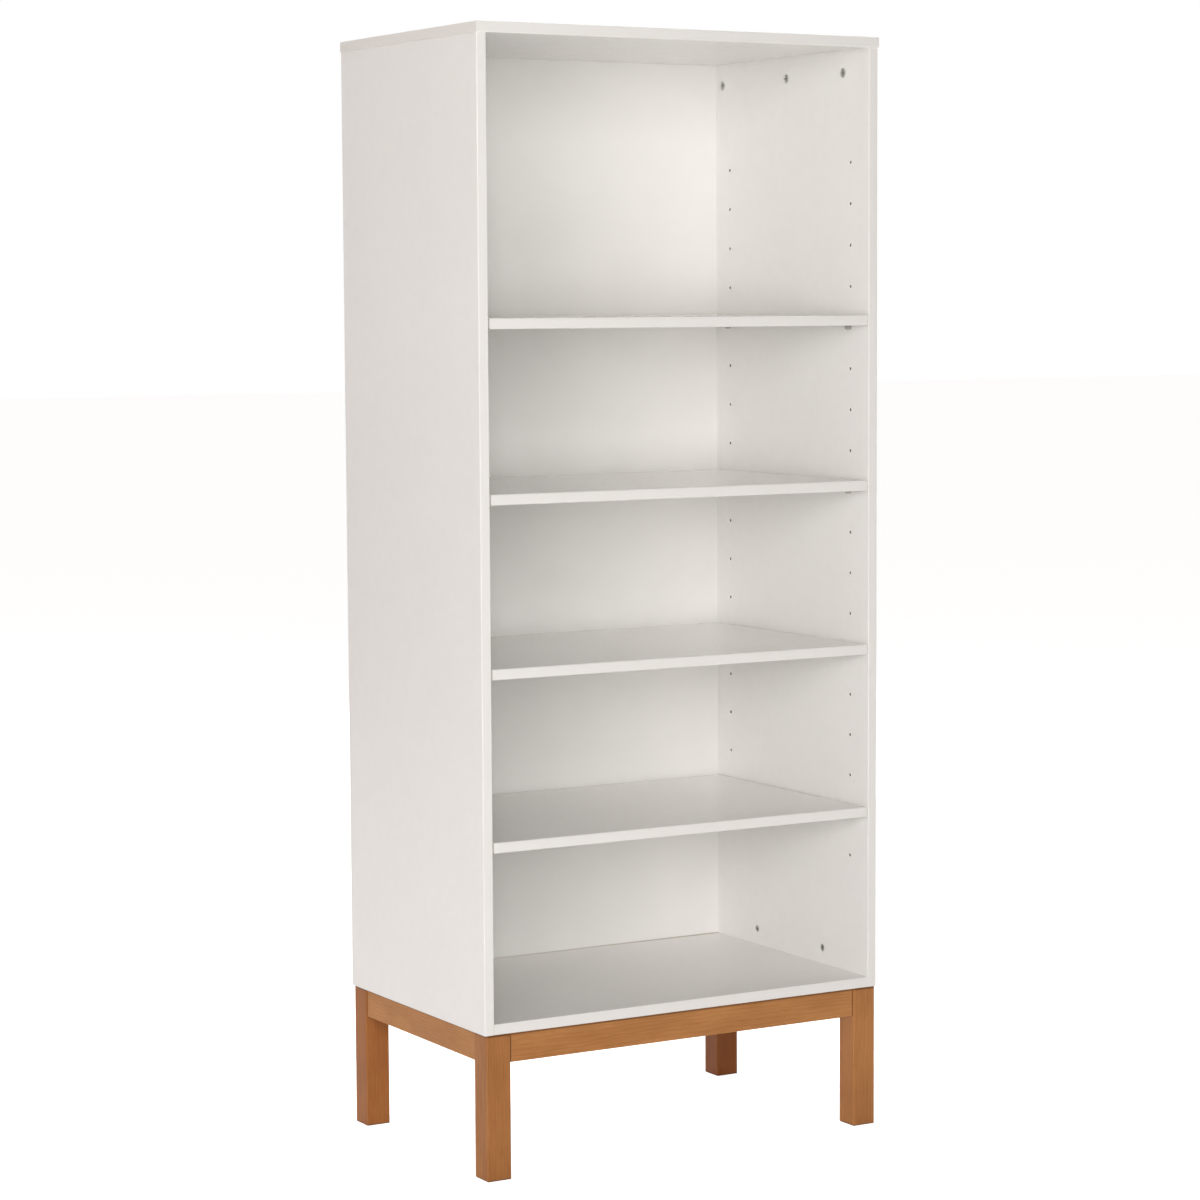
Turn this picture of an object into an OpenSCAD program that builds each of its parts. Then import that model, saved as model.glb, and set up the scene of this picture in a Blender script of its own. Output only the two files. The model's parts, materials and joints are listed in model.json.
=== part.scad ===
// Tall open bookcase: a board carcass with four adjustable shelves on pins, standing on a
// framed base of four legs and four rails. Origin: middle of the footprint, on the floor.
// X runs across the width, Y from the open front to the back, Z up.

/* [Carcass] */
// Outer width across the two side panels
carcass_width = 700; // [600:10:900]
// Front to back depth of the side panels
carcass_depth = 445; // [420:5:520]
// Height of the carcass, from the underside of the sides to the face of the top
carcass_height = 1480; // [1470:10:1600]
// Thickness of the top, sides, bottom and shelves
board = 16; // [16:1:19]
// How far the top stands out past each side panel
top_overhang_side = 1; // [0.5:0.5:4]
// How far the top stands out in front of the side panels
top_overhang_front = 2; // [0.5:0.5:6]
// Rounding of the board edges
board_round = 1.5; // [0.5:0.25:2.5]
// Thickness of the back panel
back_thickness = 3; // [3:0.5:4]
// Distance from the back of the sides to the front face of the back panel
back_inset = 5; // [5:0.5:8]

/* [Shelves] */
// Hole row under each shelf, counted from the top
shelf_rows = [5, 9, 13, 17]; // [1:1:18]
// Front to back depth of a shelf
shelf_depth = 432; // [380:1:432]
// Gap between a shelf's end and the side panel
shelf_end_gap = 2; // [1:0.5:3]

/* [Pin holes] */
// Number of hole rows in each side panel
row_count = 18; // [17:1:18]
// Height from one hole row to the next
row_pitch = 64; // [64:1:66]
// Distance from the underside of the top to the first row
first_row_drop = 173; // [170:1:178]
// Distance from the front edge of the side to the front column of holes
front_column = 50; // [40:1:60]
// Distance from the front edge of the side to the rear column of holes
rear_column = 400; // [330:1:400]
// Diameter of a pin hole
pin_hole_diameter = 5; // [5:0.5:6]
// Depth of a pin hole
pin_hole_depth = 10; // [10:0.5:12]
// Diameter of the part of a pin that a shelf rests on
pin_head_diameter = 6.4; // [6:0.2:8]
// How far a pin stands out from the side panel
pin_reach = 9; // [8:0.5:12]

/* [Base] */
// Height of the legs
leg_height = 220; // [150:5:260]
// Width and depth of a leg
leg_size = 40; // [36:1:50]
// Distance of the legs in from the sides and the back of the carcass
base_inset = 3; // [2:0.5:6]
// Height of a rail
rail_height = 44; // [44:1:70]
// Thickness of a rail
rail_thickness = 20; // [20:1:24]
// Distance of a rail's outer face behind the leg's outer face
rail_setback = 2; // [1:0.5:3]
// Rounding of the edges of the legs and rails
wood_round = 2; // [1:0.25:4]

/* [Fittings] */
// Diameter of the cams under the top and in the bottom panel
cam_diameter = 15; // [15:1:18]
// Diameter of the cams that hold the base
base_cam_diameter = 12; // [10:1:14]
// Depth of a cam's hole
cam_depth = 12.5; // [11:0.5:13]
// Distance from a cam's centre to the edge of its board
cam_edge_distance = 34; // [30:1:36]
// Height of the base cams above the underside of the sides
base_cam_height = 42; // [36:1:46]

/* [Hidden] */
$fn = 64;

white = [0.89, 0.87, 0.84];
back_white = [0.85, 0.83, 0.80];
stained_wood = [0.62, 0.42, 0.26];
steel = [0.62, 0.62, 0.63];
beech = [0.83, 0.71, 0.54];

// Clearance around a fastener in its hole
fit = 0.1;
// Places of the carcass in the whole object
side_front = -(carcass_depth - top_overhang_front) / 2;
side_back = side_front + carcass_depth;
outer_x = carcass_width / 2;
inner_x = outer_x - board;
carcass_z = leg_height;
ceiling_z = carcass_z + carcass_height - board;
floor_z = carcass_z + board;
back_front_y = side_back - back_inset;
// Groove that the back panel stands in
groove_width = back_thickness + 0.3;
groove_depth = 6;
back_tongue = groove_depth - 0.5;
back_play = 0.15;
// The bottom panel stops short of the back panel
bottom_gap = 1;
// Pin holes and pins
pin_columns = [side_front + front_column, side_front + rear_column];
pin_shank_radius = pin_hole_diameter / 2 - 0.05;
pin_shank = pin_hole_depth - 0.5;
pin_tip = 1;
shelf_rest_gap = 0.2;
// Fasteners in the carcass
bolt_radius = 2.5;
bolt_head_radius = 3.3;
bolt_neck_radius = 1.7;
bolt_offset = 7;
cam_sink = 0.3;
cam_slot_width = 1.8;
cam_slot_depth = 2.5;
screw_radius = 2;
screw_point = 4;
screw_head_height = 2.4;
plate_screw_head_radius = 3.8;
rail_screw_head_radius = 4;
nail_radius = 0.8;
nail_length = 21;
nail_head_radius = 2.6;
nail_head_height = 0.8;
top_cam_y = [side_front + 72, side_front + 232, side_back - 23];
top_dowel_y = [side_front + 152, side_back - 117];
bottom_cam_y = [side_front + 64, side_back - 69];
bottom_dowel_y = [side_front + 96, side_back - 93];
base_cam_y = [side_front + 128, side_front + 320];
top_bolt_grip = 11;
side_bolt_grip = 10;
base_bolt_grip = 14;
dowel_radius = 4;
dowel_length = 30;
dowel_in_face = 10;
nail_x = [-260:130:260];
// Base: legs and rails
leg_x = outer_x - base_inset - leg_size;
leg_front_y = side_front;
leg_rear_y = side_back - base_inset - leg_size;
rail_x = outer_x - base_inset - rail_setback - rail_thickness;
front_rail_y = side_front + rail_setback;
rear_rail_y = side_back - base_inset - rail_setback - rail_thickness;
rail_z = leg_height - rail_height;
rail_dowel_z = [leg_height - 11, leg_height - 33];
rail_dowel_length = 40;
rail_screw_x = [-160, 160];
rail_screw_sink = 22;
rail_screw_sink_radius = 5;
rail_screw_grip = 11;
rail_screw_length = rail_height - rail_screw_sink + rail_screw_grip;
// Steel plate across each corner of the base
plate_z = leg_height - rail_height / 2;
plate_height = 30;
plate_thickness = 2;
plate_reach = 60;
flange_length = 22;
plate_screw_z = [plate_z - 8, plate_z + 8];
plate_screw_grip = 12;
plate_screw_x = rail_x - plate_reach - flange_length / 2;
plate_screw_y = front_rail_y + rail_thickness + plate_reach + flange_length / 2;
hanger_radius = 4;
hanger_in_leg = 35;
hanger_tail = 18;
// Distance from the corner plate to the leg's inner edge, along the hanger bolt
plate_to_leg = ((leg_x - rail_x + plate_reach / 2)
    + (front_rail_y + rail_thickness + plate_reach / 2 - leg_front_y - leg_size)) / sqrt(2);
// Wing nut: its hub, and the size and place of a wing
nut_end_radius = 6;
nut_face_radius = 8;
nut_height = 10;
wing_length = 12;
wing_thickness = 3;
wing_middle = 10;

function pin_name(shelf, side, end) = str("shelf_", shelf, "_pin_", side, "_", end);
function row_z(row) = ceiling_z - first_row_drop - (row - 1) * row_pitch;
function shelf_bottom(i) = row_z(shelf_rows[i - 1]) + pin_head_diameter / 2 + shelf_rest_gap;
function column_y(end) = end == "front" ? pin_columns[0] : pin_columns[1];

// Rectangle with its low corner at the origin and four rounded corners
module rounded_rectangle(width, height, radius) {
    translate([radius, 0]) square([width - 2 * radius, height]);
    translate([0, radius]) square([width, height - 2 * radius]);
    for (x = [radius, width - radius], y = [radius, height - radius])
        translate([x, y]) circle(r = radius);
}

// Carries a YZ outline along X from zero
module along_x(length) { rotate([90, 0, 90]) linear_extrude(length) children(); }

// Carries an XZ outline along Y from zero
module along_y(length) { translate([0, length, 0]) rotate([90, 0, 0]) linear_extrude(length) children(); }

// Board lying flat, low corner at the origin, with its long edges and ends eased
module flat_board(width, depth, thickness, radius) {
    intersection() {
        along_x(width) rounded_rectangle(depth, thickness, radius);
        along_y(depth) rounded_rectangle(width, thickness, radius);
    }
}

// Cylinder along X, Y or Z between two distances on that axis, from the point where it stands
module rod_z(radius, low, high) { translate([0, 0, low]) cylinder(r = radius, h = high - low); }
module rod_x(radius, low, high) { rotate([0, 90, 0]) rod_z(radius, low, high); }
module rod_y(radius, low, high) { rotate([90, 0, 0]) rod_z(radius, -high, -low); }

// Repeats a left-hand item on the left, and mirrored on the right
module both_sides() {
    children();
    mirror([1, 0, 0]) children();
}

// Places an item that points out of the inner face of the right side panel at the given places
module at_right_face(y_list, z) { for (y = y_list) translate([inner_x, y, z]) children(); }

module top_panel() {
    width = carcass_width + 2 * top_overhang_side;
    depth = carcass_depth + top_overhang_front;
    color(white) difference() {
        translate([-width / 2, side_front - top_overhang_front, ceiling_z])
            flat_board(width, depth, board, board_round);
        translate([-inner_x - groove_depth, back_front_y, ceiling_z - 1])
            cube([2 * (inner_x + groove_depth), groove_width, groove_depth + 1]);
        both_sides() {
            for (y = top_cam_y) translate([inner_x + bolt_offset, y, ceiling_z])
                rod_z(bolt_radius + fit, -1, top_bolt_grip + fit);
            for (y = top_dowel_y) translate([inner_x + board / 2, y, ceiling_z])
                rod_z(dowel_radius + fit, -1, dowel_in_face + fit);
        }
    }
}

// Right-hand side panel; the left one is its mirror image
module side_panel() {
    color(white) difference() {
        translate([inner_x, side_front, carcass_z])
            linear_extrude(carcass_height - board) rounded_rectangle(board, carcass_depth, board_round);
        translate([inner_x - 1, back_front_y, carcass_z - 1])
            cube([groove_depth + 1, groove_width, carcass_height]);
        for (row = [1:row_count], y = pin_columns) translate([inner_x, y, row_z(row)])
            rod_x(pin_hole_diameter / 2, -1, pin_hole_depth);
        at_right_face(top_cam_y, ceiling_z - cam_edge_distance) {
            rod_x(cam_diameter / 2 + fit, -1, cam_depth + fit);
            translate([bolt_offset, 0, 0]) rod_z(bolt_radius + fit, 0, cam_edge_distance + 1);
        }
        at_right_face(top_dowel_y, ceiling_z) translate([board / 2, 0, 0])
            rod_z(dowel_radius + fit, dowel_in_face - dowel_length - fit, 1);
        at_right_face(base_cam_y, carcass_z + base_cam_height) {
            rod_x(base_cam_diameter / 2 + fit, -1, cam_depth + fit);
            translate([bolt_offset, 0, 0]) rod_z(bolt_radius + fit, -base_cam_height - 1, 0);
        }
        at_right_face(bottom_cam_y, carcass_z + board / 2)
            rod_x(bolt_radius + fit, -1, side_bolt_grip + fit);
        at_right_face(bottom_dowel_y, carcass_z + board / 2)
            rod_x(dowel_radius + fit, -1, dowel_in_face + fit);
    }
}

module right_side_panel() side_panel();
module left_side_panel() mirror([1, 0, 0]) side_panel();

module bottom_panel() {
    depth = back_front_y - side_front - bottom_gap;
    color(white) difference() {
        translate([-inner_x, side_front, carcass_z])
            along_x(2 * inner_x) rounded_rectangle(depth, board, board_round / 2);
        both_sides() {
            for (y = bottom_cam_y) translate([inner_x, y, carcass_z]) {
                translate([-cam_edge_distance, 0, 0]) rod_z(cam_diameter / 2 + fit, -1, cam_depth + fit);
                translate([0, 0, board / 2]) rod_x(bolt_radius + fit, -cam_edge_distance, 1);
            }
            for (y = bottom_dowel_y) translate([inner_x, y, carcass_z + board / 2])
                rod_x(dowel_radius + fit, dowel_in_face - dowel_length - fit, 1);
        }
        for (x = rail_screw_x, y = [front_rail_y, rear_rail_y])
            translate([x, y + rail_thickness / 2, carcass_z])
                rod_z(screw_radius + fit, -1, rail_screw_grip + fit);
        for (x = nail_x) translate([x, side_front + depth, carcass_z + board / 2])
            rod_y(nail_radius + fit, -nail_length, 1);
    }
}

module back_panel() {
    low_z = carcass_z + 2;
    color(back_white) difference() {
        translate([-inner_x - back_tongue, back_front_y + back_play, low_z])
            cube([2 * (inner_x + back_tongue), back_thickness, ceiling_z + back_tongue - low_z]);
        for (x = nail_x) translate([x, back_front_y, carcass_z + board / 2])
            rod_y(nail_radius + fit, -1, back_thickness + 1);
    }
}

module shelf(i) {
    length = 2 * (inner_x - shelf_end_gap);
    color(white) translate([-length / 2, side_front, shelf_bottom(i)])
        flat_board(length, shelf_depth, board, board_round);
}

// Shelf pin: a turned shank and head with chamfered ends
module shelf_pin(i, side, end) {
    head = pin_head_diameter / 2;
    s = side == "left" ? -1 : 1;
    color(steel) translate([s * inner_x, column_y(end), row_z(shelf_rows[i - 1])])
        rotate([0, s * 90, 0]) rotate_extrude() polygon([
            [0, pin_shank], [pin_shank_radius - pin_tip, pin_shank],
            [pin_shank_radius, pin_shank - pin_tip], [pin_shank_radius, 0],
            [head, 0], [head, -pin_reach + pin_tip], [head - pin_tip, -pin_reach], [0, -pin_reach]
        ]);
}

// Turned dowel with a chamfer at both ends, along Z between two distances
module dowel(low, high) {
    color(beech) translate([0, 0, low]) rotate_extrude() polygon([
        [0, 0], [dowel_radius - 1, 0], [dowel_radius, 1], [dowel_radius, high - low - 1],
        [dowel_radius - 1, high - low], [0, high - low]
    ]);
}

// Places a leg's low corner at the named corner of the base
module at_leg(end, side) {
    x = side == "left" ? -leg_x - leg_size : leg_x;
    y = end == "front" ? leg_front_y : leg_rear_y;
    translate([x, y, 0]) children();
}

// Places a front right-hand item at one corner of the base
module at_corner(end, side) {
    middle_y = (leg_front_y + leg_rear_y + leg_size) / 2;
    translate([0, middle_y, 0])
        mirror([side == "left" ? 1 : 0, 0, 0])
            mirror([0, end == "rear" ? 1 : 0, 0])
                translate([0, -middle_y, 0]) children();
}

module each_corner() {
    for (end = ["front", "rear"], side = ["left", "right"]) at_corner(end, side) children();
}

// Axis of the front right hanger bolt: its zero is on the corner plate, +X points into the leg
module on_hanger_axis() {
    translate([rail_x - plate_reach / 2, front_rail_y + rail_thickness + plate_reach / 2, plate_z])
        rotate([0, 0, -45]) children();
}

module leg(end, side) {
    color(stained_wood) difference() {
        at_leg(end, side) intersection() {
            linear_extrude(leg_height) rounded_rectangle(leg_size, leg_size, wood_round);
            along_x(leg_size) rounded_rectangle(leg_size, leg_height + wood_round, wood_round);
            along_y(leg_size) rounded_rectangle(leg_size, leg_height + wood_round, wood_round);
        }
        at_corner(end, side) {
            on_hanger_axis()
                rod_x(hanger_radius + fit, plate_to_leg - 3, plate_to_leg + hanger_in_leg + fit);
            for (z = rail_dowel_z) {
                translate([leg_x, front_rail_y + rail_thickness / 2, z])
                    rod_x(dowel_radius + fit, -1, rail_dowel_length / 2 + fit);
                translate([rail_x + rail_thickness / 2, leg_front_y + leg_size, z])
                    rod_y(dowel_radius + fit, -rail_dowel_length / 2 - fit, 1);
            }
        }
    }
}

// Rail along X between two legs, its outer face at the front
module cross_rail(low_y) {
    color(stained_wood) difference() {
        translate([-leg_x, low_y, rail_z])
            along_x(2 * leg_x) rounded_rectangle(rail_thickness, rail_height, wood_round / 2);
        both_sides() for (z = rail_dowel_z) translate([leg_x, low_y + rail_thickness / 2, z])
            rod_x(dowel_radius + fit, -rail_dowel_length / 2 - fit, 1);
        for (x = rail_screw_x) translate([x, low_y + rail_thickness / 2, rail_z]) {
            rod_z(screw_radius + fit, -1, rail_height + 1);
            rod_z(rail_screw_sink_radius, -1, rail_screw_sink);
        }
        each_corner() for (z = plate_screw_z)
            translate([plate_screw_x, front_rail_y + rail_thickness, z])
                rod_y(screw_radius + fit, -plate_screw_grip - fit, 1);
    }
}

module front_rail() cross_rail(front_rail_y);
module rear_rail() cross_rail(rear_rail_y);

// Right-hand rail along Y between two legs; the left one is its mirror image
module side_rail() {
    low_y = leg_front_y + leg_size;
    length = leg_rear_y - low_y;
    color(stained_wood) difference() {
        translate([rail_x, low_y, rail_z])
            along_y(length) rounded_rectangle(rail_thickness, rail_height, wood_round / 2);
        for (z = rail_dowel_z) translate([rail_x + rail_thickness / 2, low_y, z]) {
            rod_y(dowel_radius + fit, -1, rail_dowel_length / 2 + fit);
            rod_y(dowel_radius + fit, length - rail_dowel_length / 2 - fit, length + 1);
        }
        for (y = base_cam_y) translate([inner_x + bolt_offset, y, carcass_z])
            rod_z(bolt_radius + fit, -base_bolt_grip - fit, 1);
        for (end = ["front", "rear"]) at_corner(end, "right") for (z = plate_screw_z)
            translate([rail_x, plate_screw_y, z]) rod_x(screw_radius + fit, -1, plate_screw_grip + fit);
    }
}

module right_rail() side_rail();
module left_rail() mirror([1, 0, 0]) side_rail();

// Pressed plate across the front right corner, with a flange lying on each rail
module corner_plate(end, side) {
    low = plate_z - plate_height / 2;
    x0 = rail_x;
    y0 = front_rail_y + rail_thickness;
    t = plate_thickness;
    outline = [
        [x0 - plate_reach - flange_length, y0], [x0 - plate_reach, y0], [x0, y0 + plate_reach],
        [x0, y0 + plate_reach + flange_length], [x0 - t, y0 + plate_reach + flange_length],
        [x0 - t, y0 + plate_reach + t * tan(22.5)], [x0 - plate_reach - t * tan(22.5), y0 + t],
        [x0 - plate_reach - flange_length, y0 + t]
    ];
    color(steel) at_corner(end, side) difference() {
        translate([0, 0, low]) linear_extrude(plate_height) polygon(outline);
        on_hanger_axis() rod_x(hanger_radius + 0.5, -4, 4);
        for (z = plate_screw_z) {
            translate([x0, plate_screw_y, z]) rod_x(screw_radius + fit, -t - 1, 1);
            translate([plate_screw_x, y0, z]) rod_y(screw_radius + fit, -1, t + 1);
        }
    }
}

// Threaded rod from the corner plate into each leg
module hanger_bolts() {
    color(steel) each_corner() on_hanger_axis()
        rod_x(hanger_radius, -hanger_tail, plate_to_leg + hanger_in_leg);
}

// Wing nut behind each corner plate: a tapered hub with two wings
module wing_nuts() {
    color(steel) each_corner() on_hanger_axis() difference() {
        union() {
            translate([-plate_thickness - nut_height, 0, 0]) rotate([0, 90, 0])
                cylinder(r1 = nut_end_radius, r2 = nut_face_radius, h = nut_height);
            for (s = [-1, 1])
                translate([-plate_thickness - 10, 0, s * wing_middle])
                    cube([wing_length, wing_thickness, wing_length], center = true);
        }
        rod_x(hanger_radius + fit, -30, 5);
    }
}

// Pan-head wood screw along Z: its head is above zero, its shank below
module wood_screw(shank, head_radius) {
    translate([0, 0, -shank]) cylinder(r1 = 0.6, r2 = screw_radius, h = screw_point);
    translate([0, 0, screw_point - shank]) cylinder(r = screw_radius, h = shank - screw_point);
    difference() {
        cylinder(r1 = head_radius, r2 = head_radius - 1, h = screw_head_height);
        for (a = [0, 90]) rotate([0, 0, a]) translate([-2, -0.4, screw_head_height - 1]) cube([4, 0.8, 2]);
    }
}

module corner_plate_screws() {
    shank = plate_screw_grip + plate_thickness;
    color(steel) each_corner() for (z = plate_screw_z) {
        translate([rail_x - plate_thickness, plate_screw_y, z]) rotate([0, -90, 0])
            wood_screw(shank, plate_screw_head_radius);
        translate([plate_screw_x, front_rail_y + rail_thickness + plate_thickness, z])
            rotate([-90, 0, 0]) wood_screw(shank, plate_screw_head_radius);
    }
}

// Screws up through the front and rear rails into the bottom panel
module rail_screws() {
    color(steel) for (x = rail_screw_x, y = [front_rail_y, rear_rail_y])
        translate([x, y + rail_thickness / 2, rail_z + rail_screw_sink])
            rotate([180, 0, 0]) wood_screw(rail_screw_length, rail_screw_head_radius);
}

// Dowels between the legs and the rails
module rail_dowels() {
    half = rail_dowel_length / 2;
    color(beech) each_corner() for (z = rail_dowel_z) {
        translate([leg_x, front_rail_y + rail_thickness / 2, z])
            rotate([0, 90, 0]) dowel(-half, half);
        translate([rail_x + rail_thickness / 2, leg_front_y + leg_size, z])
            rotate([90, 0, 0]) dowel(-half, half);
    }
}

// Cam housing along +X from its face, with a cross recess and a passage for the bolt's head,
// which leaves along Z turned by the given angle, at the given depth
module cam(radius, bolt_angle, bolt_depth) {
    slot = radius * 1.1;
    color(steel) difference() {
        rod_x(radius, cam_sink, cam_depth);
        for (a = [0, 90]) rotate([a, 0, 0]) translate([-1, -cam_slot_width / 2, -slot / 2])
            cube([cam_slot_depth + 1, cam_slot_width, slot]);
        rotate([bolt_angle, 0, 0]) translate([bolt_depth, 0, 0])
            rod_z(bolt_head_radius + 0.3, -1, radius + 1);
    }
}

// Cam bolt along +Z from the middle of its cam: a ball head, a neck, a shank and a thread
module cam_bolt(length, grip) {
    head = bolt_head_radius;
    neck = bolt_neck_radius;
    tip = length + grip;
    color(steel) rotate_extrude() polygon([
        [0, -0.5], [head - 0.7, -0.5], [head, 0.4], [head, 2.2], [head - 0.7, 3.2],
        [neck, 3.6], [neck, 5.6], [bolt_radius, 6.4],
        [bolt_radius, tip - 1], [bolt_radius - 1, tip], [0, tip]
    ]);
}

module top_cams() {
    both_sides() at_right_face(top_cam_y, ceiling_z - cam_edge_distance)
        cam(cam_diameter / 2, 0, bolt_offset);
}

module top_cam_bolts() {
    both_sides() at_right_face(top_cam_y, ceiling_z - cam_edge_distance)
        translate([bolt_offset, 0, 0]) cam_bolt(cam_edge_distance, top_bolt_grip);
}

module top_dowels() {
    both_sides() at_right_face(top_dowel_y, ceiling_z)
        translate([board / 2, 0, 0]) dowel(dowel_in_face - dowel_length, dowel_in_face);
}

module base_cams() {
    both_sides() at_right_face(base_cam_y, carcass_z + base_cam_height)
        cam(base_cam_diameter / 2, 180, bolt_offset);
}

module base_cam_bolts() {
    both_sides() at_right_face(base_cam_y, carcass_z + base_cam_height)
        translate([bolt_offset, 0, 0]) rotate([180, 0, 0]) cam_bolt(base_cam_height, base_bolt_grip);
}

// These open downwards, and their bolts leave towards the side panels
module bottom_cams() {
    both_sides() at_right_face(bottom_cam_y, carcass_z) translate([-cam_edge_distance, 0, 0])
        rotate([0, -90, 0]) cam(cam_diameter / 2, 180, board / 2);
}

module bottom_cam_bolts() {
    both_sides() at_right_face(bottom_cam_y, carcass_z + board / 2) translate([-cam_edge_distance, 0, 0])
        rotate([0, 90, 0]) cam_bolt(cam_edge_distance, side_bolt_grip);
}

module bottom_dowels() {
    both_sides() at_right_face(bottom_dowel_y, carcass_z + board / 2)
        rotate([0, 90, 0]) dowel(dowel_in_face - dowel_length, dowel_in_face);
}

// Nails through the foot of the back panel into the bottom panel
module back_panel_nails() {
    back_face = back_front_y + back_play + back_thickness;
    color(steel) for (x = nail_x) translate([x, back_face, carcass_z + board / 2]) {
        rod_y(nail_radius, -nail_length, 0);
        rod_y(nail_head_radius, 0, nail_head_height);
    }
}

top_panel();
left_side_panel();
right_side_panel();
bottom_panel();
back_panel();
for (i = [1:4]) shelf(i);
for (i = [1:4], side = ["left", "right"], end = ["front", "rear"])
    shelf_pin(i, side, end);
for (side = ["left", "right"], end = ["front", "rear"]) {
    leg(end, side);
    corner_plate(end, side);
}
front_rail();
rear_rail();
left_rail();
right_rail();
hanger_bolts();
wing_nuts();
corner_plate_screws();
rail_dowels();
rail_screws();
top_cams();
top_cam_bolts();
top_dowels();
bottom_cams();
bottom_cam_bolts();
bottom_dowels();
base_cams();
base_cam_bolts();
back_panel_nails();
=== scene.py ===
"""An open bookcase with four adjustable shelves on a framed wooden base.

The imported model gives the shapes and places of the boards, legs and rails. This file gives them
their finishes, makes the turned and cast fittings in full detail, and sets up a plain pale studio.
Lengths are in metres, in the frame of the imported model: X to the right, Y to the back, Z up.
"""

import json
import math

import bpy
import numpy as np
from bpy.props import FloatProperty, FloatVectorProperty, IntProperty, PointerProperty
from mathutils import Matrix, Vector


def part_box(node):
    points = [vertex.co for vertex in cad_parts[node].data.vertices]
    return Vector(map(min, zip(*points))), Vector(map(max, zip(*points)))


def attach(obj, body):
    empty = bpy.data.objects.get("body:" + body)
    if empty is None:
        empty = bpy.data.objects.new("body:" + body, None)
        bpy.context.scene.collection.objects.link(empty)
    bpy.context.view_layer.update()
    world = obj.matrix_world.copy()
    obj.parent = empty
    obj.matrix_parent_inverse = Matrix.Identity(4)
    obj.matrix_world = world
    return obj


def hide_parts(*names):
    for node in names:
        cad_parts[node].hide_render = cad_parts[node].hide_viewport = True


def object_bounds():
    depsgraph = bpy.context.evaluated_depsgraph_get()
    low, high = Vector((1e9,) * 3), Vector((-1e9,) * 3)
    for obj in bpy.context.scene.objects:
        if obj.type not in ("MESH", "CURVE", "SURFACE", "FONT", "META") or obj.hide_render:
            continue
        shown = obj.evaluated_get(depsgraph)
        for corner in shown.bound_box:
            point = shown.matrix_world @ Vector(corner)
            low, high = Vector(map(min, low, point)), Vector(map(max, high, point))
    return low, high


bl_info = {
    "name": "Bookcase with adjustable shelves",
    "version": (1, 0, 0),
    "blender": (4, 5, 0),
    "location": "3D View > Sidebar > Bookcase",
    "description": "Finishes and fittings of an open bookcase on a wooden base, and a plain studio",
    "category": "Object",
}

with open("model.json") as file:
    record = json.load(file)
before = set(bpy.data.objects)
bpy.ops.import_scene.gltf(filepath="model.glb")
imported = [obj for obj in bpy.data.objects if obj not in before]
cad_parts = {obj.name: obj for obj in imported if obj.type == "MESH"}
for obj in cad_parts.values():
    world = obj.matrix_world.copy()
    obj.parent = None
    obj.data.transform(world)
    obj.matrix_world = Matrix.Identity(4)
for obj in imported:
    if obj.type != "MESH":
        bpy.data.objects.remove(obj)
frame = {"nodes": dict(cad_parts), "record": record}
CAD_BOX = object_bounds()
NODES = frame["nodes"]
BODIES = frame["record"]["behaviour"]["bodies"]
BODY_OF = {node: body for body, nodes in BODIES.items() for node in nodes}
SHELVES = ["shelf_1", "shelf_2", "shelf_3", "shelf_4"]
BOARDS = ["top_panel", "left_side_panel", "right_side_panel", "bottom_panel"] + SHELVES
SHELF_PINS = sorted(name for name in NODES if "_pin_" in name)
LEGS = sorted(name for name in NODES if name.endswith("_leg"))
RAILS = ["front_rail", "rear_rail", "left_rail", "right_rail"]
CORNER_PLATES = sorted(name for name in NODES if name.endswith("_corner_plate"))
SIDE_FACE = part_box("right_side_panel")[0].x
# The tone of each member against the stain, in red, green and blue: partly its own timber,
# partly painted shade: the rear legs are made darker and redder, as shade at the back of the base
TIMBER_TONES_AND_SHADE = {
    "front_left_leg": (1.12, 1.06, 1.00), "front_right_leg": (1.24, 1.21, 1.18),
    "rear_left_leg": (1.00, 0.84, 0.68), "rear_right_leg": (0.70, 0.50, 0.34),
    "front_rail": (1.33, 1.35, 1.33), "rear_rail": (1.25, 1.22, 1.15),
    "left_rail": (1.32, 1.36, 1.30), "right_rail": (1.28, 1.26, 1.20),
}
MM = 0.001
TURN = 2 * math.pi
# Faces that meet at more than this angle keep a crisp edge
CREASE = math.radians(40)
# Solids of one node count as apart when at least this much empty space lies between them
LEAST_GAP = 0.01 * MM
# How much thinner a shelf pin's shank is than its head, all round
PIN_SHOULDER = 0.75 * MM
# The way that the bolt leaves each kind of cam. A bottom cam's bolt goes to the nearer side panel
CAM_BOLT_WAYS = {"top_cams": (0, 0, 1), "base_cams": (0, 0, -1), "bottom_cams": None}
# How far the bolt lies below the face of a cam in a side panel, and of one in the bottom panel
SIDE_CAM_BOLT_DEPTH = 6.7 * MM
BOTTOM_CAM_BOLT_DEPTH = 7.7 * MM
# The length of thread on each kind of cam bolt
CAM_BOLT_GRIPS = {
    "top_cam_bolts": 11 * MM, "base_cam_bolts": 14 * MM, "bottom_cam_bolts": 10 * MM}
# The height that the lights face, the width of each soft box, and the floor's half width and its
# distance below the feet
LIGHTS_AIM_HEIGHT = 0.95
SOFT_BOX_WIDTH = 1.6
FLOOR_REACH = 40.0
FLOOR_DROP = 0.3 * MM


# Settings that a user would change


def colour_setting(name, description, default):
    return FloatVectorProperty(
        name=name, description=description, subtype="COLOR", size=3, min=0, max=1, default=default)


def length_setting(name, description, least, most, default):
    return FloatProperty(
        name=name, description=description, unit="LENGTH", subtype="DISTANCE",
        min=least, max=most, default=default)


def roughness_setting(name, description, default):
    return FloatProperty(
        name=name, description=description, subtype="FACTOR", min=0.05, max=1, default=default)


def angle_setting(name, description, degrees):
    return FloatProperty(
        name=name, description=description, subtype="ANGLE", default=math.radians(degrees))


def strength_setting(name, description, default, most):
    return FloatProperty(name=name, description=description, min=0, max=most, default=default)


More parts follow.
